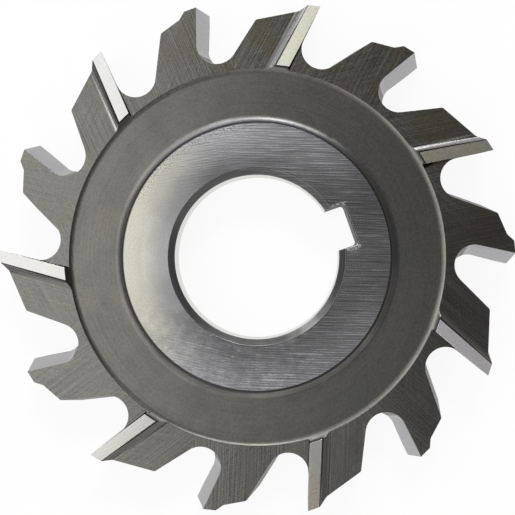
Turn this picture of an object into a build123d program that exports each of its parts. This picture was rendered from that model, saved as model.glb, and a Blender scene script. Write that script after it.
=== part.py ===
from build123d import *
import os
from math import atan, atan2, cos, degrees, radians, sin, sqrt, tan

# A staggered-tooth side and face cutter, one piece of tool steel, in mm and degrees.
# The origin is the middle of the bore and +Z is the cutter's axis. The keyway lies towards +X,
# and the first tooth's corner on the +Z face lies anticlockwise of it by the first tooth angle.
# Seen from +Z the cutter turns clockwise, so behind a tooth means anticlockwise of it.

# Whole cutter
cutter_diameter = 50.0
cutter_width = 6.0
tooth_pairs = 7
first_tooth_angle = 4.9
helix_angle = 10.5

# Bore and keyway, to suit a milling arbor
bore_diameter = 16.0
bore_chamfer = 0.6
keyway_width = 4.1
keyway_height = 17.7
keyway_corner_radius = 0.3

# Hub, a little lower than the side lands, and the web turned with a round nose on both sides
hub_diameter = 26.0
hub_recess = 0.3
nose_radius = 1.3
web_step = 0.1

# Gullets, in the plane square to the tooth
gullet_depth = 5.85
gullet_radius = 1.95
gullet_angle = 32.5
rake_angle = 12.0

# Back of each tooth: ground land, step, then a straight slope to the heel
land_length = 1.2
land_relief = 7.0
step_length = 0.92
step_slope = 48.0
step_radius = 0.5
back_slope = 24.0
heel_radius = 0.3

# Raised side land on every other tooth of each face, and the milled relief between the lands
side_relief = 0.55
side_land_width = 1.1
side_land_back_turn = 3.0
side_land_front_turn = 2.5
side_land_step = 0.05
side_land_relief = 3.0
side_land_foot_radius = 1.0
side_land_setback = 0.49
side_land_ledge = 0.37


def arc_reach(radius, rise):
    """How far sideways an arc that starts level gets while it rises by a height."""
    return sqrt(2 * radius * rise - rise**2)


# Sizes that follow from those above
cutter_radius = cutter_diameter / 2
half_width = cutter_width / 2
bore_radius = bore_diameter / 2
hub_radius = hub_diameter / 2
tooth_pitch = 180 / tooth_pairs
gullet_root = cutter_radius - gullet_depth
side_land_root = gullet_root - side_land_setback
hub_height = half_width - hub_recess
side_height = half_width - side_relief
web_height = side_height - web_step
web_radius = side_land_root - side_land_ledge - arc_reach(nose_radius, web_step)

# The inclined edge keeps to the cutter's diameter at both faces
edge_sweep = half_width * tan(radians(helix_angle))
edge_radius = sqrt(cutter_radius**2 - edge_sweep**2)
edge_lag = degrees(atan2(edge_sweep, edge_radius))

# Stock left on the turned blank, and how far a cut runs past the steel
stock = 0.5
overrun = 2.0

# How near to the middle plane an edge's centre lies when it crosses from face to face
nearness = 0.01


def ray(start, angle, length):
    """The point at a length from start, in the direction of an angle."""
    return Vector(start) + Vector(length, 0).rotate(Axis.Z, angle)


def turned_blank():
    """The disc with its hub, webs, rim and chamfered bore, alike on both faces."""
    hub = Polyline(
        (bore_radius, 0),
        (bore_radius, hub_height - bore_chamfer),
        (bore_radius + bore_chamfer, hub_height),
        (hub_radius, hub_height),
    )
    hub_foot = hub_radius + arc_reach(nose_radius, hub_height - web_height)
    web = Line((hub_foot, web_height), (web_radius, web_height))
    nose_height = web_height + nose_radius
    wall_foot = nose_height - sqrt(nose_radius**2 - (side_land_root - web_radius) ** 2)
    rim = Polyline(
        (side_land_root, wall_foot),
        (side_land_root, half_width),
        (cutter_radius + stock, half_width),
        (cutter_radius + stock, 0),
        (bore_radius, 0),
    )
    hub_side = RadiusArc(hub @ 1, web @ 0, -nose_radius)
    rim_side = RadiusArc(web @ 1, rim @ 0, -nose_radius)
    upper = make_face(hub + hub_side + web + rim_side + rim)
    return revolve(Plane.XZ * (upper + mirror(upper, about=Plane.XZ)), Axis.Z)


def keyway():
    """The slot along one side of the bore, with its two floor corners rounded."""
    floor = keyway_height - bore_radius
    slot = Pos(floor / 2, 0) * Rectangle(floor, keyway_width)
    slot = fillet(slot.vertices().group_by(Axis.X)[-1], keyway_corner_radius)
    return extrude(slot, cutter_width, both=True)


def tooth_space():
    """All that is cut away in front of and behind one tooth edge, as one inclined prism."""
    edge = Vector(edge_radius, 0)
    rake_inward = 180 - rake_angle
    wall_outward = -rake_angle - gullet_angle

    # The round bottom touches the rake face and dips to the root circle
    beside_edge = ray(edge, rake_inward + 90, gullet_radius)
    along = beside_edge.dot(ray((0, 0), rake_inward, 1))
    reach = (gullet_root + gullet_radius) ** 2 - beside_edge.length**2
    bottom_centre = ray(beside_edge, rake_inward, -along - sqrt(along**2 + reach))
    bottom_corner = ray(
        bottom_centre,
        rake_inward - gullet_angle / 2,
        gullet_radius / sin(radians(gullet_angle / 2)),
    )

    # The wall in front runs out past the blank, and the tooth's back runs into the next gullet
    outside = cutter_radius + overrun
    wall_length = (outside - bottom_corner.X) / cos(radians(wall_outward))
    wall_end = ray(bottom_corner, wall_outward, wall_length)
    land_end = ray(edge, 90 + land_relief, land_length)
    step_foot = ray(land_end, 90 + step_slope, step_length)
    next_gullet = bottom_centre.rotate(Axis.Z, tooth_pitch)
    back_length = (next_gullet.Y - step_foot.Y) / cos(radians(back_slope))
    back_end = ray(step_foot, 90 + back_slope, back_length)

    space = make_face(
        Polyline(
            edge,
            bottom_corner,
            wall_end,
            (outside, back_end.Y),
            back_end,
            step_foot,
            land_end,
            close=True,
        )
    )
    space = fillet(space.vertices().sort_by_distance(bottom_corner)[0], gullet_radius)
    space = fillet(space.vertices().sort_by_distance(step_foot)[0], step_radius)
    tilt = radians(helix_angle)
    edge_plane = Plane(origin=(0, 0, 0), x_dir=(1, 0, 0), z_dir=(0, -sin(tilt), cos(tilt)))
    return extrude(edge_plane * space, cutter_width, both=True)


def side_cuts():
    """The relief behind one side land of the +Z face, and the slope ground on that land."""
    corner = Vector(edge_radius, -edge_sweep)
    land_inward = 180 - degrees(atan(tan(radians(rake_angle)) / cos(radians(helix_angle))))
    to_hub = cutter_radius - hub_radius

    # The relief reaches from this land's back to the next land's front, and both of these
    # lines turn back from the rake face on their way to the hub
    back_inward = land_inward - side_land_back_turn
    front_inward = land_inward - side_land_front_turn
    foot_rise = side_relief - side_land_width * tan(radians(side_land_relief))
    foot_length = arc_reach(side_land_foot_radius, foot_rise)
    back_offset = side_land_width + foot_length - side_land_foot_radius
    back_corner = ray(corner, land_inward - 90, back_offset)
    front_corner = ray(corner, land_inward + 90, side_land_step)
    relief = make_face(
        Polyline(
            ray(back_corner, back_inward, to_hub),
            ray(back_corner, back_inward, -overrun),
            ray((0, 0), tooth_pitch, 2 * cutter_radius),
            ray(front_corner, front_inward, -overrun).rotate(Axis.Z, 2 * tooth_pitch),
            ray(front_corner, front_inward, to_hub).rotate(Axis.Z, 2 * tooth_pitch),
            close=True,
        )
    )
    relief -= Circle(web_radius)
    relief = extrude(Pos(0, 0, side_height) * relief, side_relief + stock)
    back_foot = relief.edges().sort_by_distance((back_corner.X, back_corner.Y, side_height))[0]
    relief = fillet(back_foot, side_land_foot_radius)

    # The land falls away behind its cutting edge
    behind = ray((0, 0), land_inward - 90, sin(radians(side_land_relief)))
    slope_plane = Plane(
        origin=(corner.X, corner.Y, half_width),
        x_dir=ray((0, 0), land_inward, 1),
        z_dir=behind + Vector(0, 0, cos(radians(side_land_relief))),
    )
    slope = Pos(-overrun, 0, 0) * Box(
        cutter_radius - side_land_root + 2 * overrun,
        2 * side_land_width,
        stock,
        align=(Align.MIN, Align.MAX, Align.MIN),
    )
    return [relief, slope_plane * slope]


def around(cut, first_tooth):
    """A cut at every other tooth, starting from the given one."""
    start = first_tooth_angle + edge_lag
    turns = range(first_tooth, 2 * tooth_pairs, 2)
    return [Rot(0, 0, start + turn * tooth_pitch) * cut for turn in turns]


# Turning and slotting
cutter = turned_blank() - keyway()

# Gullets and tooth backs, leaning one way and then the other
space = tooth_space()
mirrored_space = mirror(space, about=Plane.XY)
cutter -= around(space, 0) + around(mirrored_space, 1)

# Heels, the fifth inclined line in from the cutting edge on every tooth
inclined = cutter.edges().filter_by(GeomType.LINE).filter_by(lambda line: line.length > cutter_width)
crossing = inclined.filter_by_position(Axis.Z, -nearness, nearness)
heels = crossing.group_by(lambda line: line.center().length, tol_digits=3)[-5]
cutter = fillet(heels, heel_radius)

# Side lands, on the even teeth of the +Z face and on the odd teeth of the other
for cut in side_cuts():
    cutter -= around(cut, 0) + around(mirror(cut, about=Plane.XY), 1)

os.makedirs("parts", exist_ok=True)
export_step(cutter.solid(), "parts/side_and_face_cutter.step")
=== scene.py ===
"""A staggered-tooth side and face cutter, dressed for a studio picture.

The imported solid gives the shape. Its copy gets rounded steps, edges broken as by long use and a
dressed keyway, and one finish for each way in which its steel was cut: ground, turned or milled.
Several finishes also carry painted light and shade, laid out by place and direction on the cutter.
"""

import logging
import math
from collections.abc import Callable
from dataclasses import dataclass, field
from enum import Enum

import bpy
from mathutils import Matrix, Vector


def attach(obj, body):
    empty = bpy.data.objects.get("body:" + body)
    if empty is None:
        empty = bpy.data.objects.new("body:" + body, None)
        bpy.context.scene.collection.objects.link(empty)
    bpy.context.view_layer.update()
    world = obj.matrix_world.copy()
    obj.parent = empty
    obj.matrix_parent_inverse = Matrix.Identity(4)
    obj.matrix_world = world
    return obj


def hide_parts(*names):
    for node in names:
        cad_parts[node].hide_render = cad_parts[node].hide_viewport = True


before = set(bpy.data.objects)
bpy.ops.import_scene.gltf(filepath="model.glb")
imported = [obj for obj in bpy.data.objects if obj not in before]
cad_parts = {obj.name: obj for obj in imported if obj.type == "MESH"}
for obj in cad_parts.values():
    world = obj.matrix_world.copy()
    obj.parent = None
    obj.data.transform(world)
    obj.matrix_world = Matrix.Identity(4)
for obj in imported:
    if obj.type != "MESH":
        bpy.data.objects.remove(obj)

bpy.context.view_layer.update()

MM = 0.001
HUB_GRINDING = -21.0  # where the hub's grinding lines run, in degrees from +X
Colour = tuple[float, float, float]
Reach = tuple[float, float]

log = logging.getLogger("cutter")


class Value:
    """A socket that carries a number, so that shader maths reads as arithmetic."""

    def __init__(self, graph: "Graph", socket: bpy.types.NodeSocket) -> None:
        """Keeps an output socket and the graph that it belongs to."""
        self.graph = graph
        self.socket = socket

    def __add__(self, other: "Value | float") -> "Value":
        """Sum with a value or number."""
        return self.graph.math("ADD", self, other)

    def __radd__(self, other: float) -> "Value":
        """Sum of a number and this value."""
        return self.graph.math("ADD", other, self)

    def __sub__(self, other: "Value | float") -> "Value":
        """Difference from a value or number."""
        return self.graph.math("SUBTRACT", self, other)

    def __rsub__(self, other: float) -> "Value":
        """A number less this value."""
        return self.graph.math("SUBTRACT", other, self)

    def __mul__(self, other: "Value | float") -> "Value":
        """Product with a value or number."""
        return self.graph.math("MULTIPLY", self, other)

    def __rmul__(self, other: float) -> "Value":
        """Product of a number and this value."""
        return self.graph.math("MULTIPLY", other, self)

    def __truediv__(self, other: "Value | float") -> "Value":
        """Quotient by a value or number."""
        return self.graph.math("DIVIDE", self, other)

    def __rtruediv__(self, other: float) -> "Value":
        """Quotient of a number by this value."""
        return self.graph.math("DIVIDE", other, self)


class Graph:
    """The node tree of one material or world, with one method that adds any node."""

    def __init__(self, tree: bpy.types.NodeTree) -> None:
        """Takes a node tree and removes its default nodes."""
        self.tree = tree
        tree.nodes.clear()

    def node(
        self,
        kind: str,
        settings: dict[str, object] | None = None,
        inputs: dict[str | int, object] | None = None,
    ) -> bpy.types.Node:
        """Adds a node, sets it up, and then fills or links its sockets.

        Args:
            kind: The node's type name without its ShaderNode prefix.
            settings: Properties of the node.
            inputs: Values, wrapped values or sockets by the input's name or number.

        Returns:
            The new node.
        """
        made = self.tree.nodes.new("ShaderNode" + kind)
        for name, setting in (settings or {}).items():
            setattr(made, name, setting)
        for name, given in (inputs or {}).items():
            socket = made.inputs[name]
            if isinstance(given, Value):
                given = given.socket
            if isinstance(given, bpy.types.NodeSocket):
                self.tree.links.new(given, socket)
            else:
                socket.default_value = given
        return made

    def math(self, operation: str, *terms: "Value | float") -> Value:
        """The result of a Math node's operation on its inputs, in order."""
        made = self.node("Math", {"operation": operation}, dict(enumerate(terms)))
        return Value(self, made.outputs[0])

    def vector(self, x: Value | float, y: Value | float, z: Value | float) -> bpy.types.NodeSocket:
        """The socket of a vector from three numbers."""
        return self.node("CombineXYZ", None, {0: x, 1: y, 2: z}).outputs[0]

    def noise(
        self,
        place: bpy.types.NodeSocket,
        scale: float = 1.0,
        detail: float = 2.0,
        roughness: float = 0.5,
    ) -> Value:
        """Fractal noise around 0.5.

        Args:
            place: Where the noise is read.
            scale: Its frequency.
            detail: Octaves.
            roughness: Weight of the finer octaves.

        Returns:
            The noise value.
        """
        made = self.node(
            "TexNoise",
            None,
            {"Vector": place, "Scale": scale, "Detail": detail, "Roughness": roughness},
        )
        return Value(self, made.outputs[0])

    def step(
        self,
        value: Value,
        start: float,
        end: float,
        low: float = 0.0,
        high: float = 1.0,
    ) -> Value:
        """A smooth step from low to high as a value goes from start to end.

        Args:
            value: The value.
            start: Where the step starts.
            end: Where it ends.
            low: Result before the start.
            high: Result after the end.

        Returns:
            The stepped value.
        """
        settings = {"interpolation_type": "SMOOTHSTEP"}
        inputs = {0: value, 1: start, 2: end, 3: low, 4: high}
        if start > end:
            inputs = {0: value, 1: end, 2: start, 3: high, 4: low}
        return Value(self, self.node("MapRange", settings, inputs).outputs[0])

    def blend(
        self,
        share: Value | float,
        first: Colour | bpy.types.NodeSocket,
        second: Colour | bpy.types.NodeSocket,
    ) -> bpy.types.NodeSocket:
        """Mixes two colours.

        Args:
            share: How much of the second colour shows.
            first: A colour or its socket.
            second: A colour or its socket.

        Returns:
            The mixed colour's socket.
        """

        def full(colour: object) -> object:
            """A plain colour with its alpha, or the socket as it is."""
            return (*colour, 1.0) if isinstance(colour, tuple) else colour

        made = self.node(
            "Mix",
            {"data_type": "RGBA", "clamp_factor": True},
            {0: share, 6: full(first), 7: full(second)},
        )
        return made.outputs[2]

    def shade(
        self,
        colour: Colour | bpy.types.NodeSocket,
        brightness: Value,
    ) -> bpy.types.NodeSocket:
        """Makes a colour lighter or darker.

        Args:
            colour: A colour or its socket.
            brightness: What it is multiplied by.

        Returns:
            The shaded colour's socket.
        """
        made = self.node(
            "VectorMath", {"operation": "SCALE"}, {0: colour, "Scale": brightness}
        )
        return made.outputs[0]


@dataclass(frozen=True)
class Sector:
    """A part of the ring round one direction, and how much lighter or darker it is.

    Its limits are cosines of the angle from that direction. The change starts at the outside
    one, and is whole from the inside one up to 1, which is the direction itself.
    """

    direction: float
    outside: float
    inside: float
    gain: float = 1.0


class SteelGraph(Graph):
    """A material's nodes, with the places on the cutter that its finishes are laid out by."""

    # Added to the numbers of the far face's lands, so that no single land's look falls on them
    FAR_FACE = 31.0
    # Turns of the grinding lines' wave, in radians per millimetre, and how far it wanders
    LINE_RATE = 26.0
    LINE_DRIFT = 16.0

    def __init__(self, material: bpy.types.Material, shape: "CutterShape") -> None:
        """Adds the place on the cutter, in millimetres, and its polar form.

        Args:
            material: The material to fill.
            shape: The cutter's sizes.
        """
        material.use_nodes = True
        super().__init__(material.node_tree)
        self.shape = shape
        place = self.node("TexCoord").outputs["Object"]
        scaled = self.node("VectorMath", {"operation": "SCALE"}, {0: place, "Scale": 1 / MM})
        self.place = scaled.outputs[0]
        parts = self.node("SeparateXYZ", None, {0: self.place})
        self.x, self.y, self.z = (Value(self, part) for part in parts.outputs)
        self.radius = self.math("SQRT", self.x * self.x + self.y * self.y)
        self.angle = self.math("ARCTAN2", self.y, self.x)
        self.height = self.math("ABSOLUTE", self.z)

    def turned(self, x: Value, y: Value, direction: float) -> tuple[Value, Value]:
        """Distances along and across a straight direction on the face.

        Args:
            x: The place along +X, in millimetres.
            y: The place along +Y.
            direction: Degrees from +X.

        Returns:
            The distance along it and the distance across it.
        """
        turn = math.radians(direction)
        cosine, sine = math.cos(turn), math.sin(turn)
        return x * cosine + y * sine, y * cosine - x * sine

    def facing(self, direction: float) -> Value:
        """Cosine of the angle between a place and a direction, in degrees from +X."""
        turn = math.radians(direction)
        return (self.x * math.cos(turn) + self.y * math.sin(turn)) / self.radius

    def within(self, sector: Sector) -> Value:
        """Goes from 0 outside a sector to its gain well inside it."""
        cosine = self.facing(sector.direction)
        return self.step(cosine, sector.outside, sector.inside, 0.0, sector.gain)

    def vary(
        self,
        light: Value,
        sectors: tuple[Sector, ...],
        mask: Value | None = None,
    ) -> Value:
        """Makes a brightness lighter or darker in sectors.

        Args:
            light: The brightness.
            sectors: Where it changes, and by how much.
            mask: What holds the change back, from 0 for none of it to 1 for all.

        Returns:
            The changed brightness.
        """
        for sector in sectors:
            change = self.within(sector)
            if mask is not None:
                change = change * mask
            light = light * (change + 1.0)
        return light

    def ring(self, start: float, end: float) -> Value:
        """Goes from 0 to 1 as the radius goes from start to end, in millimetres."""
        return self.step(self.radius, start, end)

    def tooth_frame(self) -> tuple[Value, Value, Value]:
        """The place seen from the nearest side land, as if that land's tooth stood at +X.

        Returns:
            Along +X and along +Y in that frame, in millimetres, and the land's number.
        """
        pitch = math.radians(self.shape.land_pitch)
        far_side = self.math("LESS_THAN", self.z, 0.0)
        start = far_side * (pitch / 2) + math.radians(self.shape.first_tooth_angle)
        turned = (self.angle - start) / pitch + self.shape.land_share
        number = self.math("FLOOR", turned)
        back = number * pitch + start
        cosine = self.math("COSINE", back)
        sine = self.math("SINE", back)
        return (
            self.x * cosine + self.y * sine,
            self.y * cosine - self.x * sine,
            number + far_side * self.FAR_FACE,
        )

    def at_land(self, number: Value, land: float) -> Value:
        """1 round the side land of that number, and 0 elsewhere."""
        return self.math("COMPARE", number, land, 0.5)

    def ground_lines(self, direction: float) -> Value:
        """Crisp straight grinding lines, a quarter of a millimetre apart and often broken.

        Args:
            direction: Where they run, in degrees from +X.

        Returns:
            Their height, around 0.5.
        """
        along, across = self.turned(self.x, self.y, direction)
        drift = self.noise(self.vector(along * 0.1, across * 2.0, direction), roughness=0.6)
        depth = self.noise(self.vector(along * 0.5, across * 4.5, direction + 7.0), detail=1.0)
        wave = self.math("SINE", across * self.LINE_RATE + drift * self.LINE_DRIFT)
        return wave * self.step(depth, 0.35, 0.65, 0.06, 0.3) + (depth - 0.5) * 0.25 + 0.5

    def finish(
        self,
        colour: bpy.types.NodeSocket,
        roughness: Value,
        relief: Value,
        depth: float,
        bareness: float = 1.0,
    ) -> None:
        """Ends the tree in a steel shader.

        Args:
            colour: Base colour.
            roughness: Roughness over the surface.
            relief: Height of the tool marks, about 0 to 1.
            depth: What one unit of that height is, in millimetres.
            bareness: 1 for bare metal, less where scale covers it.
        """
        bump = self.node("Bump", None, {"Strength": 1.0, "Distance": depth * MM, "Height": relief})
        steel = self.node(
            "BsdfPrincipled",
            None,
            {
                "Base Color": colour,
                "Metallic": bareness,
                "Specular IOR Level": bareness * 0.5,
                "Roughness": roughness,
                "Normal": bump.outputs[0],
            },
        )
        self.node("OutputMaterial", None, {0: steel.outputs[0]})


@dataclass(frozen=True)
class CutterShape:
    """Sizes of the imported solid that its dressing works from, in millimetres and degrees."""

    bore_radius: float = 8.0
    bore_chamfer: float = 0.6
    hub_radius: float = 13.0
    hub_height: float = 2.7
    side_height: float = 2.45
    web_height: float = 2.35
    web_radius: float = 17.79
    recess_rim: float = 18.29
    side_land_root: float = 18.66
    outer_radius: float = 25.0
    keyway_half: float = 2.05
    keyway_floor: float = 9.7
    keyway_corner: float = 0.3
    first_tooth_angle: float = 4.9
    land_pitch: float = 360 / 7
    land_share: float = 0.59  # share of the pitch, ahead of a land, that counts as its own
    land_direction: float = 166.5


class Zone(Enum):
    """The surfaces of the cutter, each with its own way of being cut."""

    HUB = "ground hub face"
    TURNED = "turned web and step"
    FLANK = "milled tooth side"
    LAND = "ground land"
    RAKE = "ground rake face"
    GULLET = "milled gullet"
    BORE = "ground bore"
    SLOT = "broached keyway"
    CHAMFER = "turned chamfer"
    # Near-black land walls: dirt in the corners and painted shade.
    WALL = "stained land wall"
    BURR = "broken keyway edge"


@dataclass(frozen=True)
class Finish:
    """What all finishes share: a name, a colour and a roughness."""

    zone: Zone
    colour: Colour
    roughness: float

    def material(self, shape: CutterShape) -> bpy.types.Material:
        """Makes this finish's material.

        Args:
            shape: The cutter's sizes.

        Returns:
            The new material.
        """
        made = bpy.data.materials.new(self.zone.value)
        self.lay(SteelGraph(made, shape))
        return made

    def lay(self, steel: SteelGraph) -> None:
        """Fills the material's empty node tree; each finish has its own way."""
        raise NotImplementedError


@dataclass(frozen=True)
class GroundHub(Finish):
    """Straight grinding lines over a ring that is brighter outward, with painted light and shade.
    """

    cool: Colour = (0.295, 0.295, 0.303)
    crossed: tuple[tuple[float, Sector], ...] = (
        (-34.0, Sector(218.0, 0.8, 1.0, 0.7)),
        (-10.0, Sector(106.0, 0.8, 1.0, 0.7)),
    )
    brightening_reach: Reach = (9.0, 12.4)
    # Painted warmth of the lamp's light, on the lit side of the hub's outer half.
    lamp_warmth: Sector = Sector(157.0, 0.35, 0.95)
    lamp_warmth_reach: Reach = (8.2, 12.2)
    calm: Sector = Sector(157.0, 0.55, 0.97, 0.85)
    # The right side, painted darker as shade.
    lined: Sector = Sector(-11.4, 0.75, 0.95)
    right_shade_level: float = 0.75
    # The side painted in shade, with a ragged edge.
    shaded_side: float = 223.6
    # Painted light and shade, sector by sector.
    painted_light_levels: tuple[Sector, ...] = (
        Sector(50.0, 0.7, 0.95, 0.12),
        Sector(16.0, 0.9, 0.99, -0.2),
        Sector(110.0, 0.85, 1.0, -0.14),
        Sector(190.0, 0.93, 1.0, -0.08),
        Sector(267.0, 0.9, 0.99, 0.08),
    )
    # Painted shade near the bore at the top, and a painted bright patch on the left, inward of mid
    # radius.
    shaded: tuple[Sector, ...] = (Sector(88.0, 0.87, 0.98, -0.23),)
    shaded_reach: Reach = (10.4, 9.0)
    bright: tuple[Sector, ...] = (Sector(158.0, 0.93, 1.0, 0.16),)
    bright_reach: Reach = (11.5, 10.9)
    crazed: Sector = Sector(103.0, 0.8, 0.95, 2.4)
    crazed_reach: Reach = (11.9, 12.7)
    scuffed: Sector = Sector(240.0, 0.4, 0.9)
    # Painted shade on the inner lip, over the light that its worn edge catches; less of it on the
    # lit side.
    lip_shade: float = 0.4
    lit_lip: Sector = Sector(145.0, 0.2, 0.8, -0.35)
    crumbs: tuple[tuple[float, float, float, float], ...] = (
        (9.2, -2.24, 0.8, 0.32),
        (9.0, 2.17, 1.0, 0.16),
    )

    def lay(self, steel: SteelGraph) -> None:
        """Lines in three directions, a brighter outer half, painted light and shade, nicks and a
        crazed edge.

        Args:
            steel: The material's empty node tree.
        """
        lines = steel.ground_lines(HUB_GRINDING)
        for direction, sector in self.crossed:
            lines = lines + (steel.ground_lines(direction) - lines) * steel.within(sector)
        speck = steel.noise(steel.place, scale=7.0, detail=3.0, roughness=0.75)
        slow = steel.noise(steel.place, scale=0.5)
        # Brighter towards the outside, and painted shade over the right side.
        tone_shift = steel.step(steel.radius + (slow - 0.5) * 1.5, *self.brightening_reach, 0.72, 1.2)
        light = tone_shift + (self.right_shade_level - tone_shift) * steel.within(self.lined)
        # Painted shade over one side, with a ragged edge.
        stain_and_shade = steel.facing(self.shaded_side) + (slow - 0.5) * 0.3
        light = light * (1.0 - steel.step(stain_and_shade, 0.8, 1.0) * 0.28)
        # Painted light and shade in sectors, near the bore and at mid radius.
        light = steel.vary(light, self.painted_light_levels)
        light = steel.vary(light, self.shaded, steel.ring(*self.shaded_reach))
        light = steel.vary(light, self.bright, steel.ring(*self.bright_reach))
        light = light * (1.0 + (lines - 0.5) * (1.0 - steel.within(self.calm)) * 1.1)
        crazed = steel.ring(*self.crazed_reach) * steel.within(self.crazed)
        light = light * (1.0 + (speck - 0.5) * (0.7 + crazed))
        light = self.scuff(steel, light) + self.chips(steel, speck) * 1.6
        light = light * self.lips(steel)
        # Painted warmth of the lamp's light on the lit outer side; elsewhere the hub keeps its own
        # cool colour.
        lamp_warmth = steel.within(self.lamp_warmth) * steel.ring(*self.lamp_warmth_reach)
        tint = steel.blend(lamp_warmth, self.cool, self.colour)
        rough = (lines - 0.5) * 0.1 + (speck - 0.5) * 0.08 + self.roughness
        steel.finish(steel.shade(tint, light), rough, lines, 0.004)

    def scuff(self, steel: SteelGraph, light: Value) -> Value:
        """Blotches and short bright nicks on the side that was handled most.

        Args:
            steel: The material's node tree.
            light: The brightness so far.

        Returns:
            The scuffed brightness.
        """
        along, across = steel.turned(steel.x, steel.y, HUB_GRINDING)
        nicks = steel.noise(steel.vector(along * 1.8, across * 5.0, 3.0), detail=1.0)
        blotch = steel.noise(steel.place, scale=1.3, detail=3.0, roughness=0.6)
        scuffed = steel.within(self.scuffed)
        light = light * (1.0 + (blotch - 0.55) * scuffed * 0.9)
        return light + steel.step(nicks, 0.67, 0.75) * scuffed * 0.45

    def chips(self, steel: SteelGraph, speck: Value) -> Value:
        """Bright torn crumbs beside the keyway's corners.

        Args:
            steel: The material's node tree.
            speck: Fine noise around 0.5.

        Returns:
            Where they show, 0 to 1.
        """
        patch = None
        for x, y, length, width in self.crumbs:
            off_x = (steel.x - x) / length
            off_y = (steel.y - y) / width
            near = steel.step(off_x * off_x + off_y * off_y, 1.1, 0.7)
            patch = near if patch is None else steel.math("MAXIMUM", patch, near)
        return patch * steel.step(speck, 0.4, 0.58)

    def lips(self, steel: SteelGraph) -> Value:
        """Painted shade on the lips where the face ends, at the hub's outside and at the chamfer.

        Args:
            steel: The material's node tree.

        Returns:
            What the brightness is multiplied by.
        """
        shape = steel.shape
        outer = steel.ring(shape.hub_radius - 0.1, shape.hub_radius - 0.04)
        mouth = shape.bore_radius + shape.bore_chamfer
        inner = steel.ring(mouth + 0.15, mouth + 0.05)
        lip_shade_share = steel.within(self.lit_lip) + self.lip_shade
        return (1.0 - outer * 0.7) * (1.0 - inner * lip_shade_share)


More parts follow.
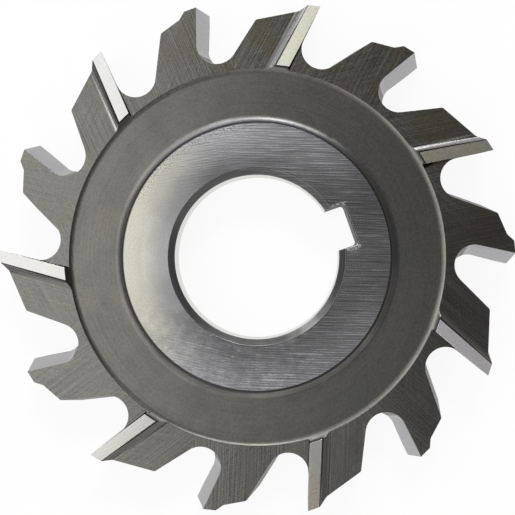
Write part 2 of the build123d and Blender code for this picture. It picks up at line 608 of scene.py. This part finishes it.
@dataclass(frozen=True)
class TurnedWeb(Finish):
    """A satin turned surface, with painted light and shade across it and on its two arcs."""

    cloud_colour: Colour = (0.107, 0.106, 0.096)
    # The painted bluish colour of the highlight on the hub's foot, cooler on one side.
    foot_highlight_colour: Colour = (0.112, 0.110, 0.125)
    cool_foot: Sector = Sector(75.0, 0.6, 0.95, 0.6)
    # Painted shade on the right and painted light on the left.
    painted_light_levels: tuple[Sector, ...] = (
        Sector(31.0, 0.3, 1.0, -0.2),
        Sector(160.0, 0.5, 1.0, 0.12),
    )
    # Where the rim's arc is painted in shade; it is painted lighter on the opposite side.
    rim_shade_side: float = 156.0
    # Painted highlights and shade along the hub's foot, sector by sector.
    foot_painted_light: tuple[Sector, ...] = (
        Sector(62.0, 0.8, 0.97, 0.45),
        Sector(65.0, 0.95, 0.97, -0.2),
        Sector(106.0, 0.8, 0.97, 0.45),
        Sector(221.0, 0.93, 0.97, -0.27),
        Sector(278.0, 0.8, 0.97, 1.3),
        Sector(-19.0, 0.9, 0.97, -0.1),
        Sector(-42.0, 0.93, 0.97, 0.45),
    )
    # Painted light and shade along the rim's edge, sector by sector.
    rim_painted_light: tuple[Sector, ...] = (
        Sector(96.0, 0.75, 0.98, 0.52),
        Sector(175.0, 0.87, 0.99, -0.35),
        Sector(228.0, 0.82, 0.95, 0.45),
    )
    rim_reach: Reach = (17.85, 18.0)
    # A painted glint on the top of the rim.
    glint: tuple[Sector, ...] = (Sector(245.0, 0.9, 0.98, 1.2),)
    glint_reach: Reach = (18.1, 18.2)

    def lay(self, steel: SteelGraph) -> None:
        """Faint turning rings, fine grain and cloudy oxide, with painted light and shade across
        the face and on both arcs.

        Args:
            steel: The material's empty node tree.
        """
        rings = steel.noise(
            steel.vector(steel.radius * 6.0, steel.angle * 1.2, steel.z), detail=3.0, roughness=0.6
        )
        grain = steel.noise(steel.place, scale=7.0, detail=3.0, roughness=0.75)
        cloud = steel.noise(steel.place, scale=0.35, detail=3.0, roughness=0.55)
        tint = steel.blend(steel.step(cloud, 0.35, 0.7), self.colour, self.cloud_colour)
        light = (rings - 0.5) * 0.4 + (grain - 0.5) * 1.1 + 1.0
        # Painted light and shade in sectors, then on the rim's arc.
        light = self.rim_arc(steel, steel.vary(light, self.painted_light_levels))
        tint, light = self.foot_arc(steel, tint, light)
        rough = (grain - 0.5) * 0.14 + (cloud - 0.5) * 0.08 + self.roughness
        steel.finish(steel.shade(tint, light), rough, rings + grain * 0.6, 0.004)

    def foot_arc(
        self,
        steel: SteelGraph,
        tint: bpy.types.NodeSocket,
        light: Value,
    ) -> tuple[bpy.types.NodeSocket, Value]:
        """The arc round the hub's foot: a painted bluish highlight, with painted shade on the
        steep wall above it.

        Args:
            steel: The material's node tree.
            tint: The web's colour.
            light: The web's brightness.

        Returns:
            Both with the arc.
        """
        shape = steel.shape
        foot = steel.ring(shape.hub_radius + 0.5, shape.hub_radius + 0.1)
        inner = steel.ring(shape.hub_radius + 0.8, shape.hub_radius + 0.5)
        arc = inner * steel.ring(shape.hub_radius + 0.1, shape.hub_radius + 0.25)
        wall = steel.step(steel.height, shape.web_height + 0.2, shape.web_height + 0.34) * inner
        # Painted highlight over the foot and painted shade on its steep upper part.
        light = light * (foot * 0.4 + 1.0) * (1.0 - wall * 0.6)
        cooled = steel.within(self.cool_foot) + 0.4
        tint = steel.blend((foot * 0.6 + inner * 0.4) * cooled, tint, self.foot_highlight_colour)
        return tint, steel.vary(light, self.foot_painted_light, arc)

    def rim_arc(self, steel: SteelGraph, light: Value) -> Value:
        """The arc up to the step at the rim: painted light where it faces the lamp, painted shade
        where it faces away, and a painted glint.

        Args:
            steel: The material's node tree.
            light: The web's brightness.

        Returns:
            The brightness with the arc.
        """
        shape = steel.shape
        tone_shift = steel.step(steel.height, shape.web_height + 0.01, shape.side_height - 0.03)
        outer = tone_shift * steel.ring(shape.web_radius - 0.5, shape.web_radius)
        # Painted light on the arc where it faces the lamp, painted shade where it faces away.
        painted_light = 0.15 - steel.facing(self.rim_shade_side) * 0.5
        light = light * (1.0 + outer * painted_light)
        light = steel.vary(light, self.glint, tone_shift * steel.ring(*self.glint_reach))
        rim = tone_shift * steel.ring(*self.rim_reach)
        return steel.vary(light, self.rim_painted_light, rim)


@dataclass(frozen=True)
class LandFoot:
    """Painted light and shade up the rounded foot of one side land, at each of the foot's heights.
    """

    land: float
    gains: tuple[float, ...]


@dataclass(frozen=True)
class MilledFlank(Finish):
    """Milled tooth sides: lines that follow each side land, brown heat and oil stains, and painted
    light and shade.
    """

    stain_colour: Colour = (0.116, 0.103, 0.080)
    stain_and_shade: Sector = Sector(30.0, 0.2, 0.9)
    calm_land: float = 3.0
    faint_side: tuple[Sector, ...] = (Sector(-55.0, 0.2, 0.9, -0.3),)
    # Painted light and shade, sector by sector.
    painted_light_levels: tuple[Sector, ...] = (
        Sector(-86.0, 0.93, 0.99, 0.33),
        Sector(-25.0, 0.9, 0.98, -0.25),
        Sector(95.0, 0.75, 0.95, -0.11),
        Sector(-140.0, 0.95, 0.99, -0.1),
    )
    # The painted highlight's colour on the lands' rounded feet, cooler on one side.
    foot_highlight_colour: Colour = (0.27, 0.264, 0.248)
    cool_foot_highlight_colour: Colour = (0.27, 0.267, 0.278)
    cool_foot: Sector = Sector(60.0, 0.5, 0.9)
    foot_heights: tuple[float, ...] = (0.01, 0.03, 0.07, 0.11, 0.18, 0.32, 0.46)
    # Painted light and shade on each land's foot, one gain for each of the heights above.
    feet: tuple[LandFoot, ...] = (
        LandFoot(0.0, (0.04, 0.04, 0.18, 2.6, 2.7, 1.6, 0.03)),
        LandFoot(1.0, (0.15, 0.38, 0.68, 2.3, 3.7, 3.7, 3.7)),
        LandFoot(2.0, (1.0, 1.37, 2.2, 1.9, 1.02, 0.72, 0.5)),
        LandFoot(3.0, (0.31, 0.38, 0.36, 0.53, 1.2, 1.25, 0.8)),
        LandFoot(-3.0, (1.08, 1.2, 1.5, 1.85, 1.6, 1.3, 1.3)),
        LandFoot(-2.0, (0.95, 0.68, 0.62, 0.58, 0.61, 0.62, 0.55)),
        LandFoot(-1.0, (0.62, 0.57, 0.62, 0.92, 0.93, 0.87, 0.55)),
    )

    def lay(self, steel: SteelGraph) -> None:
        """Lines along the nearest land, crossed in places, run-out marks, stains, and painted
        light and shade.

        Args:
            steel: The material's empty node tree.
        """
        shape = steel.shape
        x, y, number = steel.tooth_frame()
        along, across = steel.turned(x, y, shape.land_direction)
        fine = steel.noise(steel.vector(along * 0.1, across * 7.0, number), detail=1.0)
        broad = steel.noise(steel.vector(along * 0.12, across * 1.5, number))
        crossing = steel.noise(
            steel.vector((along + across) * 4.2, (along - across) * 0.15, number + 5.0), detail=1.0
        )
        run_out = steel.noise(
            steel.vector(steel.radius * 4.5, steel.angle * 3.0, number + 9.0), detail=1.0
        )
        cloud = steel.noise(steel.place, scale=0.3, detail=3.0, roughness=0.55)
        grain = steel.noise(steel.place, scale=6.0, detail=3.0, roughness=0.75)
        stain = steel.step(cloud, 0.4, 0.6) * steel.within(self.stain_and_shade)
        tint = steel.blend(stain, self.colour, self.stain_colour)
        calm = 1.0 - steel.at_land(number, self.calm_land) * 0.6
        marks = (fine - 0.5) * calm * 1.2 + (broad - 0.5) * calm * 0.25 + (grain - 0.5) * 1.1
        marks = marks + (crossing - 0.5) * 0.7 * steel.step(cloud, 0.55, 0.47)
        near_rim = steel.ring(20.6, 19.2)
        marks = marks + steel.step(run_out, 0.68, 0.76) * near_rim * 0.2
        marks = steel.vary(marks, self.faint_side)
        above = steel.height - shape.side_height
        foot = steel.step(above, 0.002, 0.02)
        # Painted shade on the steep upper part of each foot, then painted light and shade in
        # sectors and on each foot.
        light = (marks * (1.0 - foot * 0.5) + 1.0) * (1.0 - steel.step(above, 0.25, 0.4) * 0.72)
        light = self.light_feet(steel, steel.vary(light, self.painted_light_levels), number, above, foot)
        foot_tint = steel.blend(
            steel.within(self.cool_foot), self.foot_highlight_colour, self.cool_foot_highlight_colour
        )
        tint = steel.blend(foot, tint, foot_tint)
        rough = marks * 0.1 + (cloud - 0.5) * 0.1 + self.roughness
        steel.finish(steel.shade(tint, light), rough, fine + crossing * 0.4, 0.005)

    def light_feet(
        self,
        steel: SteelGraph,
        light: Value,
        number: Value,
        above: Value,
        foot: Value,
    ) -> Value:
        """Paints light and shade on each land's foot, different for each land, from the tooth side
        up.

        Args:
            steel: The material's node tree.
            light: The brightness so far.
            number: The nearest land's number.
            above: Height over the tooth side, in millimetres.
            foot: Where the feet are, 0 to 1.

        Returns:
            The brightness with the feet.
        """
        rises = [
            steel.step(above, lower, higher)
            for lower, higher in zip(self.foot_heights, self.foot_heights[1:])
        ]
        for land_foot in self.feet:
            here = steel.at_land(number, land_foot.land) * foot
            level: Value | float = land_foot.gains[0] - 1.0
            for rise, lower, higher in zip(rises, land_foot.gains, land_foot.gains[1:]):
                level = rise * (higher - lower) + level
            light = light * (here * level + 1.0)
        return light


@dataclass(frozen=True)
class LandLight:
    """How much painted light one side land of the upper face gets, and its tinge."""

    land: float
    level: float
    tinge: Colour


@dataclass(frozen=True)
class GroundLand(Finish):
    """Freshly ground lands: bright, specked, each with its own tinge and painted light."""

    # Each land's painted light level and tinge, on the upper face.
    painted_light: tuple[LandLight, ...] = (
        LandLight(0.0, 0.63, (0.50, 0.47, 0.37)),
        LandLight(1.0, 0.99, (0.50, 0.495, 0.41)),
        LandLight(2.0, 0.92, (0.49, 0.487, 0.47)),
        LandLight(3.0, 0.95, (0.49, 0.487, 0.46)),
        LandLight(-3.0, 1.02, (0.50, 0.495, 0.455)),
        LandLight(-2.0, 1.15, (0.50, 0.485, 0.455)),
        LandLight(-1.0, 1.55, (0.49, 0.475, 0.475)),
    )
    fade: Reach = (1.2, 2.6)
    back_taper: float = 0.0075
    back_reach: Reach = (1.055, 1.085)
    oiled_land: float = -2.0
    oiled_reach: Reach = (20.5, 23.0)
    oiled_tinge: Colour = (0.51, 0.46, 0.37)
    cool_tinge: Colour = (0.47, 0.455, 0.485)

    def lay(self, steel: SteelGraph) -> None:
        """Specks over slow changes of tinge, each land's own painted light, and painted shade
        along the back edge.

        Args:
            steel: The material's empty node tree.
        """
        slow = steel.noise(steel.place, scale=0.3)
        speck = steel.noise(steel.place, scale=5.0, detail=3.0, roughness=0.75)
        x, y, number = steel.tooth_frame()
        lines = steel.noise(steel.vector(x * 0.8, y * 8.0, number), roughness=0.6)
        tint = self.colour
        light = (speck - 0.5) * 0.35 + (lines - 0.5) * 0.2 + 1.0
        upper = steel.step(steel.z, *self.fade)
        # Each land's painted light and tinge, on the upper face only.
        for wear_and_sheen in self.painted_light:
            here = steel.at_land(number, wear_and_sheen.land) * upper
            tint = steel.blend(here, tint, wear_and_sheen.tinge)
            light = light * (here * (wear_and_sheen.level - 1.0) + 1.0)
        # Painted shade along the back edge of each land, over the glint its edge would catch.
        light = light * (1.0 - self.back_edge_shade(steel, x, y) * 0.9)
        oiled = steel.at_land(number, self.oiled_land) * steel.ring(*self.oiled_reach)
        tint = steel.blend(oiled * 0.85, tint, self.oiled_tinge)
        tint = steel.blend(steel.step(slow, 0.45, 0.6) * 0.35, tint, self.cool_tinge)
        rough = (speck - 0.5) * 0.15 + self.roughness
        steel.finish(steel.shade(tint, light), rough, speck + lines * 0.5, 0.002)

    def back_edge_shade(self, steel: SteelGraph, x: Value, y: Value) -> Value:
        """Painted shade along the back edge of each side land, on the cutter's two faces.

        Args:
            steel: The material's node tree.
            x: The place along +X, seen from the land.
            y: The place along +Y, seen from the land.

        Returns:
            Where it shows, 0 to 1.
        """
        shape = steel.shape
        inward, ahead = steel.turned(x - shape.outer_radius, y, shape.land_direction)
        behind = inward * -self.back_taper - ahead
        on_side = steel.step(steel.height, 2.8, 2.85)
        return steel.step(behind, *self.back_reach) * on_side


@dataclass(frozen=True)
class GroundRake(Finish):
    """Rake faces, ground from top to bottom of each gullet."""

    cool_tinge: Colour = (0.27, 0.263, 0.283)

    def lay(self, steel: SteelGraph) -> None:
        """Fine grinding lines across the face's width.

        Args:
            steel: The material's empty node tree.
        """
        lines = steel.noise(steel.vector(steel.radius * 9.0, steel.z * 0.4, steel.angle * 2.0))
        slow = steel.noise(steel.place, scale=0.5)
        speck = steel.noise(steel.place, scale=5.0, detail=3.0, roughness=0.75)
        tint = steel.blend(steel.step(slow, 0.35, 0.65), self.colour, self.cool_tinge)
        light = (lines - 0.5) * 0.3 + (speck - 0.5) * 1.1 + (slow - 0.5) * 0.4 + 1.0
        rough = (lines - 0.5) * 0.1 + self.roughness
        steel.finish(steel.shade(tint, light), rough, lines, 0.002)


@dataclass(frozen=True)
class MilledGullet(Finish):
    """Gullet bottoms, front walls and tooth backs, as milled and darkened by heat treatment."""

    scale_colour: Colour = (0.09, 0.08, 0.065)

    def lay(self, steel: SteelGraph) -> None:
        """Lines from face to face and a dark cloudy scale.

        Args:
            steel: The material's empty node tree.
        """
        lines = steel.noise(
            steel.vector(steel.x * 4.0, steel.y * 4.0, steel.z * 0.35), roughness=0.55
        )
        cloud = steel.noise(steel.place, scale=0.5, detail=3.0, roughness=0.55)
        tint = steel.blend(steel.step(cloud, 0.4, 0.65), self.colour, self.scale_colour)
        light = (lines - 0.5) * 0.5 + 1.0
        rough = (lines - 0.5) * 0.15 + self.roughness
        steel.finish(steel.shade(tint, light), rough, lines, 0.006)


@dataclass(frozen=True)
class GroundBore(Finish):
    """The bore, ground smooth all round."""

    def lay(self, steel: SteelGraph) -> None:
        """Fine rings round the axis.

        Args:
            steel: The material's empty node tree.
        """
        rings = steel.noise(steel.vector(steel.z * 9.0, steel.angle * 2.0, 0.0), roughness=0.6)
        light = (rings - 0.5) * 0.2 + 1.0
        rough = (rings - 0.5) * 0.1 + self.roughness
        steel.finish(steel.shade(self.colour, light), rough, rings, 0.002)


@dataclass(frozen=True)
class TurnedChamfer(Finish):
    """The bore's chamfer: dark from the lathe, with painted light and shade in sectors and a
    painted reflection of the small softbox.
    """

    # Painted light and shade in sectors, and a painted reflection of the small softbox near -70
    # degrees.
    tone_shift: tuple[Sector, ...] = (
        Sector(175.0, 0.7, 0.97, -0.42),
        Sector(-26.0, 0.93, 0.99, -0.35),
        Sector(-69.0, 0.92, 0.985, 0.9),
        Sector(-71.4, 0.988, 0.9998, 0.85),
        Sector(250.0, 0.8, 0.97, 0.3),
        Sector(38.0, 0.8, 0.95, 0.15),
    )
    lined: Sector = Sector(38.0, 0.7, 0.93, 1.1)
    # Painted shade on the chamfer's outer lip, on the side towards -20 degrees.
    lip: tuple[Sector, ...] = (Sector(-20.0, -0.3, 0.5, -0.3),)
    lip_reach: Reach = (8.5, 8.55)

    def lay(self, steel: SteelGraph) -> None:
        """Rings round the axis, painted light and shade in places, and the hub's lines by the
        keyway.

        Args:
            steel: The material's empty node tree.
        """
        rings = steel.noise(steel.vector(steel.z * 8.0, steel.angle * 4.0, 0.0), roughness=0.6)
        grain = steel.noise(steel.place, scale=5.0, roughness=0.6)
        light = (rings - 0.5) * 0.5 + (grain - 0.5) * 0.4 + 1.0
        light = steel.vary(light, self.tone_shift)
        lines = steel.ground_lines(HUB_GRINDING)
        light = light * ((lines - 0.5) * steel.within(self.lined) + 1.0)
        light = steel.vary(light, self.lip, steel.ring(*self.lip_reach))
        rough = (grain - 0.5) * 0.15 + self.roughness
        steel.finish(steel.shade(self.colour, light), rough, rings, 0.003)


@dataclass(frozen=True)
class StainAndShadeSteel(Finish):
    """Steel that no wheel has touched since it was cut: matt, dark and blotchy. Near black on the
    land walls, it stands for dirt in the corners and painted shade.
    """

    blotch: float = 0.4
    bareness: float = 1.0

    def lay(self, steel: SteelGraph) -> None:
        """Blotches of scale.

        Args:
            steel: The material's empty node tree.
        """
        cloud = steel.noise(steel.place, scale=2.2, detail=3.0, roughness=0.6)
        grain = steel.noise(steel.place, scale=11.0, roughness=0.6)
        light = (cloud - 0.5) * self.blotch * 2.0 + (grain - 0.5) * 0.3 + 1.0
        rough = (grain - 0.5) * 0.15 + self.roughness
        steel.finish(steel.shade(self.colour, light), rough, grain, 0.004, self.bareness)


@dataclass(frozen=True)
class TornEdge(Finish):
    """The keyway's broken edge: torn bright along its sides, painted in shade across its floor."""

    def lay(self, steel: SteelGraph) -> None:
        """Bright crumbs on the two sides, and painted shade across the floor.

        Args:
            steel: The material's empty node tree.
        """
        grain = steel.noise(steel.place, scale=8.0, roughness=0.7)
        beside = steel.math("ABSOLUTE", steel.y)
        half = steel.shape.keyway_half
        # Painted shade across the floor, bright along the two sides.
        light = (grain - 0.5) * 1.2 + steel.step(beside, half - 0.2, half - 0.05, 0.15, 1.0)
        rough = (grain - 0.5) * 0.15 + self.roughness
        steel.finish(steel.shade(self.colour, light), rough, grain, 0.004)


@dataclass
class Cutter:
    """The cutter's shown piece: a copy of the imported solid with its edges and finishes."""

    shape: CutterShape = field(default_factory=CutterShape)
    node: str = "side_and_face_cutter"
    merge_distance: float = 0.02
    tolerance: float = 0.01
    flat_angle: float = 0.3
    step_radius: float = 0.05
    keyway_bevel: float = 0.08
    corner_facet: float = 22.5
    edge_wear: float = 0.03
    sharp_angle: float = 28.0
    finishes: tuple[Finish, ...] = (
        # The hub's colour where the lamp's warmth is painted; its own colour is the cool one.
        GroundHub(Zone.HUB, (0.31, 0.304, 0.258), 0.21),
        TurnedWeb(Zone.TURNED, (0.122, 0.1188, 0.104), 0.32),
        MilledFlank(Zone.FLANK, (0.126, 0.1235, 0.110), 0.24),
        GroundLand(Zone.LAND, (0.50, 0.495, 0.475), 0.295),
        GroundRake(Zone.RAKE, (0.315, 0.31, 0.312), 0.30),
        MilledGullet(Zone.GULLET, (0.13, 0.125, 0.115), 0.42),
        GroundBore(Zone.BORE, (0.60, 0.59, 0.56), 0.22),
        StainAndShadeSteel(Zone.SLOT, (0.16, 0.155, 0.15), 0.55, 0.6, 0.3),
        TurnedChamfer(Zone.CHAMFER, (0.27, 0.27, 0.272), 0.32),
        # The land walls: near black, as dirt in the corners and painted shade.
        StainAndShadeSteel(Zone.WALL, (0.03, 0.03, 0.03), 0.5),
        TornEdge(Zone.BURR, (0.55, 0.55, 0.53), 0.35),
    )
    piece: bpy.types.Object | None = None

    def build(self) -> bpy.types.Object:
        """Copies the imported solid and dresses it.

        Returns:
            The finished piece.
        """
        self.copy_solid()
        self.sort_faces()
        self.merge_flats()
        self.round_step()
        self.dress_keyway()
        self.wear_edges()
        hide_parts(self.node)
        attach(self.piece, "root")
        return self.piece

    def copy_solid(self) -> None:
        """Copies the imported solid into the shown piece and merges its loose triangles."""
        bpy.ops.object.select_all(action="DESELECT")
        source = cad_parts[self.node]
        self.piece = bpy.data.objects.new("cutter", source.data.copy())
        bpy.context.scene.collection.objects.link(self.piece)
        self.piece.select_set(True)
        bpy.context.view_layer.objects.active = self.piece
        bpy.ops.object.mode_set(mode="EDIT")
        bpy.ops.mesh.select_all(action="SELECT")
        bpy.ops.mesh.customdata_custom_splitnormals_clear()
        bpy.ops.mesh.remove_doubles(threshold=self.merge_distance * MM)
        bpy.ops.object.mode_set(mode="OBJECT")

    def zone_of(self, centre: Vector, normal: Vector) -> Zone:
        """Which surface of the cutter a face belongs to.

        Args:
            centre: The face's middle, in millimetres.
            normal: Its outward direction.

        Returns:
            The face's zone.
        """
        shape = self.shape
        radius = math.hypot(centre.x, centre.y)
        height = abs(centre.z)
        upright = abs(normal.z)
        level, steep, sheer = upright > 0.98, upright < 0.3, upright < 0.1
        outward = (normal.x * centre.x + normal.y * centre.y) / radius
        forward = (normal.x * centre.y - normal.y * centre.x) / radius
        raised = height > shape.side_height - self.tolerance
        in_slot = (
            shape.bore_radius - 0.2 < centre.x < shape.keyway_floor + self.tolerance
            and abs(centre.y) < shape.keyway_half + self.tolerance
        )
        if steep and in_slot:
            return Zone.SLOT
        if steep and radius < shape.bore_radius + 0.1:
            return Zone.BORE
        if upright < 0.9 and radius < shape.bore_radius + shape.bore_chamfer:
            return Zone.CHAMFER
        if radius < shape.hub_radius and height > shape.hub_height - self.tolerance:
            return Zone.HUB
        if level and abs(height - shape.side_height) < self.tolerance / 2:
            return Zone.FLANK
        if radius < shape.side_land_root:
            return Zone.WALL if sheer and raised else Zone.TURNED
        if level and height > shape.side_height + 0.4:
            return Zone.LAND
        if not steep:
            return Zone.FLANK
        if sheer and raised:
            return Zone.WALL
        if forward > 0.93:
            return Zone.RAKE
        if outward > 0.95 and radius > shape.outer_radius - 0.35:
            return Zone.LAND
        return Zone.GULLET

    def sort_faces(self) -> None:
        """Gives every face the material slot of its zone."""
        mesh = self.piece.data
        mesh.materials.clear()
        zones = [finish.zone for finish in self.finishes]
        for finish in self.finishes:
            mesh.materials.append(finish.material(self.shape))
        for face in mesh.polygons:
            zone = self.zone_of(face.center / MM, face.normal)
            face.material_index = zones.index(zone)

    def merge_flats(self) -> None:
        """Joins the triangles of each flat surface, kept apart between zones."""
        bpy.ops.object.mode_set(mode="EDIT")
        bpy.ops.mesh.select_all(action="SELECT")
        bpy.ops.mesh.dissolve_limited(
            angle_limit=math.radians(self.flat_angle), delimit={"MATERIAL"}
        )
        bpy.ops.object.mode_set(mode="OBJECT")

    def select_edges(self, wanted: Callable[[Vector, Vector], bool]) -> int:
        """Selects the edges that pass a test, in edit mode.

        Args:
            wanted: Takes an edge's two ends, in millimetres, and says whether it counts.

        Returns:
            How many edges are selected.
        """
        bpy.ops.object.mode_set(mode="EDIT")
        bpy.ops.mesh.select_mode(type="EDGE")
        bpy.ops.mesh.select_all(action="DESELECT")
        bpy.ops.object.mode_set(mode="OBJECT")
        mesh = self.piece.data
        count = 0
        for edge in mesh.edges:
            first, second = (mesh.vertices[corner].co / MM for corner in edge.vertices)
            edge.select = wanted(first, second)
            count += edge.select
        bpy.ops.object.mode_set(mode="EDIT")
        return count

    def round_step(self) -> None:
        """Rounds the top of the step between web and rim, on both faces."""
        shape = self.shape

        def on_rim(*ends: Vector) -> bool:
            """Whether an edge lies on the step's upper edge."""
            return all(
                abs(math.hypot(end.x, end.y) - shape.recess_rim) < 3 * self.tolerance
                and abs(abs(end.z) - shape.side_height) < self.tolerance
                for end in ends
            )

        count = self.select_edges(on_rim)
        bpy.ops.mesh.bevel(offset=self.step_radius * MM, segments=2, affect="EDGES")
        bpy.ops.object.mode_set(mode="OBJECT")
        log.info("step: %d edges rounded", count)

    def ease_corners(self) -> None:
        """Joins the narrow facets of the keyway's floor corners, which no bevel would fit."""
        shape = self.shape

        def between(first: Vector, second: Vector) -> bool:
            """Whether an edge runs down a corner between two facets that become one."""
            beside = Vector(
                (
                    first.x - shape.keyway_floor + shape.keyway_corner,
                    abs(first.y) - shape.keyway_half + shape.keyway_corner,
                )
            )
            near = self.tolerance / 2
            if (first.xy - second.xy).length > near / 5 or min(beside) < near:
                return False
            share = math.degrees(math.atan2(beside.y, beside.x)) / self.corner_facet
            on_arc = abs(beside.length - shape.keyway_corner) < near
            return on_arc and abs(share - round(share)) > 0.1

        count = self.select_edges(between)
        bpy.ops.mesh.dissolve_edges(use_verts=True)
        bpy.ops.object.mode_set(mode="OBJECT")
        log.info("keyway: %d corner edges dissolved", count)

    def dress_keyway(self) -> None:
        """Breaks the keyway's edge all along, where it meets the hub faces."""
        shape = self.shape
        self.ease_corners()

        def on_mouth(*ends: Vector) -> bool:
            """Whether an edge lies on the keyway's outline in a hub face."""
            return ends[0].z * ends[1].z > 0 and all(
                abs(abs(end.z) - shape.hub_height) < self.tolerance
                and shape.bore_radius + 0.2 < end.x < shape.keyway_floor + self.tolerance
                and abs(end.y) < shape.keyway_half + self.tolerance
                for end in ends
            )

        count = self.select_edges(on_mouth)
        bpy.ops.mesh.bevel(
            offset=self.keyway_bevel * MM,
            segments=1,
            affect="EDGES",
            material=[finish.zone for finish in self.finishes].index(Zone.BURR),
        )
        bpy.ops.object.mode_set(mode="OBJECT")
        log.info("keyway: %d edges broken", count)

    def wear_edges(self) -> None:
        """Takes the sharpness off every edge and shades the curved surfaces smooth."""
        bpy.ops.object.shade_smooth()
        wear_and_sheen = self.piece.modifiers.new("edge wear", "BEVEL")
        wear_and_sheen.width = self.edge_wear * MM
        wear_and_sheen.segments = 2
        wear_and_sheen.limit_method = "ANGLE"
        wear_and_sheen.angle_limit = math.radians(self.sharp_angle)
        wear_and_sheen.use_clamp_overlap = False
        bpy.ops.object.modifier_apply(modifier=wear_and_sheen.name)
        even = self.piece.modifiers.new("even shading", "WEIGHTED_NORMAL")
        even.keep_sharp = False
        bpy.ops.object.modifier_apply(modifier=even.name)


@dataclass(frozen=True)
class Lamp:
    """A level soft lamp that faces down: its middle and its extent along X and Y, in metres.

    Both are given before the lamp is turned with the camera. The radiance is how bright the
    lamp's surface looks, where 1 is white.
    """

    name: str
    place: tuple[float, float, float]
    size: tuple[float, float]
    radiance: float


@dataclass
class Studio:
    """Floor, soft lamps, world and the camera over the cutter."""

    floor_height: float = -3.02
    floor_size: float = 6.0
    floor_colour: Colour = (0.86, 0.86, 0.86)
    floor_glow: float = 0.92
    world_level: float = 0.287
    lamps: tuple[Lamp, ...] = (
        Lamp("long softbox", (-0.329, 0.0, 0.6), (0.563, 1.796), 1.785),
        Lamp("small softbox", (0.076, 0.56, 0.6), (0.21, 0.21), 25.7),
    )
    camera_turn: float = 19.36
    camera_tip: float = -0.355
    camera_lean: float = -1.627
    camera_shift: tuple[float, float] = (-0.0061, 0.0341)
    camera_distance: float = 122.83
    camera_lens: float = 86.76
    sensor_width: float = 36.0
    camera_sight: tuple[float, float] = (0.01, 20.0)

    def build(self) -> None:
        """Sets up floor, lamps, world and camera."""
        self.lay_floor()
        for lamp in self.lamps:
            self.hang(lamp)
        self.light_world()
        self.place_camera()
        bpy.context.scene.view_settings.view_transform = "Standard"

    def lay_floor(self) -> None:
        """Lays a white floor that shows as white but keeps a soft shadow."""
        bpy.ops.object.select_all(action="DESELECT")
        bpy.ops.mesh.primitive_plane_add(
            size=self.floor_size, location=(0.0, 0.0, self.floor_height * MM)
        )
        floor = bpy.context.object
        floor.name = "floor"
        paint = bpy.data.materials.new("white floor")
        paint.use_nodes = True
        graph = Graph(paint.node_tree)
        path = graph.node("LightPath")
        seen = Value(graph, path.outputs["Is Camera Ray"])
        seen = seen + Value(graph, path.outputs["Is Glossy Ray"])
        seen = seen + Value(graph, path.outputs["Is Transmission Ray"])
        matt = graph.node("BsdfDiffuse", None, {"Color": (*self.floor_colour, 1.0)})
        glow = graph.node("Emission", None, {"Color": (1.0, 1.0, 1.0, 1.0), "Strength": 1.0})
        mixed = graph.node(
            "MixShader",
            None,
            {0: seen * self.floor_glow, 1: matt.outputs[0], 2: glow.outputs[0]},
        )
        graph.node("OutputMaterial", None, {0: mixed.outputs[0]})
        floor.data.materials.append(paint)

    def hang(self, lamp: Lamp) -> None:
        """Hangs a lamp over the floor.

        Args:
            lamp: The lamp's name, place, size and brightness.
        """
        made = bpy.data.lights.new(lamp.name, "AREA")
        made.shape = "RECTANGLE"
        made.size, made.size_y = lamp.size
        made.energy = lamp.radiance * math.pi * lamp.size[0] * lamp.size[1]
        held = bpy.data.objects.new(lamp.name, made)
        turn = Matrix.Rotation(math.radians(-self.camera_turn), 4, "Z")
        held.matrix_world = turn @ Matrix.Translation(lamp.place)
        bpy.context.scene.collection.objects.link(held)

    def light_world(self) -> None:
        """Fills the room with an even dim light."""
        world = bpy.data.worlds.new("studio room")
        world.use_nodes = True
        graph = Graph(world.node_tree)
        fill = graph.node(
            "Background", None, {"Color": (1.0, 1.0, 1.0, 1.0), "Strength": self.world_level}
        )
        graph.node("OutputWorld", None, {0: fill.outputs[0]})
        bpy.context.scene.world = world

    def place_camera(self) -> None:
        """Places the camera over the cutter as in the photograph."""
        turn = (
            Matrix.Rotation(math.radians(self.camera_tip), 3, "X")
            @ Matrix.Rotation(math.radians(self.camera_lean), 3, "Y")
            @ Matrix.Rotation(math.radians(self.camera_turn), 3, "Z")
        )
        offset = Vector((*self.camera_shift, -self.camera_distance)) * MM
        lens = bpy.data.cameras.new("camera")
        lens.lens = self.camera_lens
        lens.sensor_width = self.sensor_width
        lens.clip_start, lens.clip_end = self.camera_sight
        camera = bpy.data.objects.new("camera", lens)
        back = turn.transposed()
        camera.matrix_world = Matrix.Translation(-(back @ offset)) @ back.to_4x4()
        bpy.context.scene.collection.objects.link(camera)
        bpy.context.scene.camera = camera


def main() -> None:
    """Builds the cutter and its studio."""
    logging.basicConfig(level=logging.INFO, format="%(name)s: %(message)s")
    cutter = Cutter().build()
    log.info("cutter: %d faces", len(cutter.data.polygons))
    Studio().build()
    log.info("studio set up")
    bpy.context.view_layer.update()


if __name__ == "__main__":
    main()
